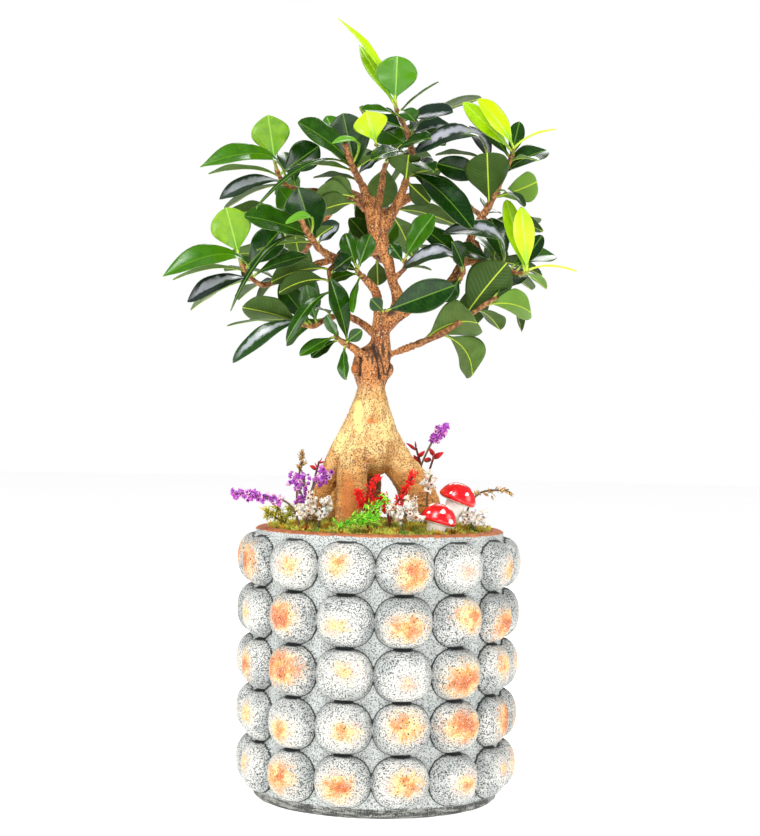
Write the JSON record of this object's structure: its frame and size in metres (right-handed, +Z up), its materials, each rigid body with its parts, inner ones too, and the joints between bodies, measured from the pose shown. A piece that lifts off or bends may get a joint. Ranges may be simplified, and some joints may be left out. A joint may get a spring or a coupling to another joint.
{
  "type": "ficus ginseng bonsai",
  "caption": "Potted ficus ginseng bonsai: swollen aerial roots, short neck, leafy branches and young shoots, standing in a round bubble-relief pot with moss, toadstool picks and dried flowers.",
  "frame": {"origin": "centre of the pot's flat foot", "axes": "+Z up, -Y towards the front that the picture shows, +X to the right"},
  "size_m": [0.2408, 0.1858, 0.4637],
  "materials": {
    "pot": "matte",
    "soil": "matte",
    "moss": "matte",
    "bark": "matte",
    "leaf": "satin",
    "young_leaf": "satin",
    "purple_flower": "matte",
    "white_flower": "matte",
    "red_flower": "matte",
    "green_frond": "matte",
    "seed_head": "matte",
    "moss_tuft": "matte",
    "toadstool_cap": "gloss",
    "toadstool_stalk": "matte"
  },
  "bodies": {
    "root": {"pot": "pot", "soil": "soil", "moss": "moss", "wood": "bark", "purple_spray_left": "purple_flower", "purple_bunch": "purple_flower", "white_bunch_left": "white_flower", "seed_sprig_left": "seed_head", "red_bud_sprig": "red_flower", "red_sprig_left": "red_flower", "red_sprig_middle": "red_flower", "green_frond": "green_frond", "white_bunch_right": "white_flower", "white_sprig_right": "white_flower", "purple_spray_right": "purple_flower", "red_sprig_right": "red_flower", "seed_sprig_right": "seed_head", "white_tuft_right": "white_flower", "moss_tuft_left": "moss_tuft", "front_toadstool_cap": "toadstool_cap", "front_toadstool_stalk": "toadstool_stalk", "back_toadstool_cap": "toadstool_cap", "back_toadstool_stalk": "toadstool_stalk", "top_shoot": "young_leaf", "upper_left_shoot": "young_leaf", "left_shoot": "young_leaf", "centre_shoot": "young_leaf", "upper_right_shoot": "young_leaf", "right_shoot": "young_leaf", "upper_left_inner_spray": "leaf", "upper_left_outer_spray": "leaf", "left_inner_spray": "leaf", "left_outer_spray": "leaf", "knot_spray": "leaf", "stem_spray": "leaf", "front_spray": "leaf", "top_spray": "leaf", "upper_right_spray": "leaf", "right_spray": "leaf", "inner_right_spray": "leaf", "low_right_spray": "leaf", "left_under_spray": "leaf", "low_left_spray": "leaf", "spur_spray": "leaf", "fork_spray": "leaf", "trunk_back_spray": "leaf", "back_left_spray": "leaf", "back_spray": "leaf", "back_right_spray": "leaf", "back_top_spray": "leaf", "back_low_left_spray": "leaf", "back_low_right_spray": "leaf"}
  },
  "joints": []
}
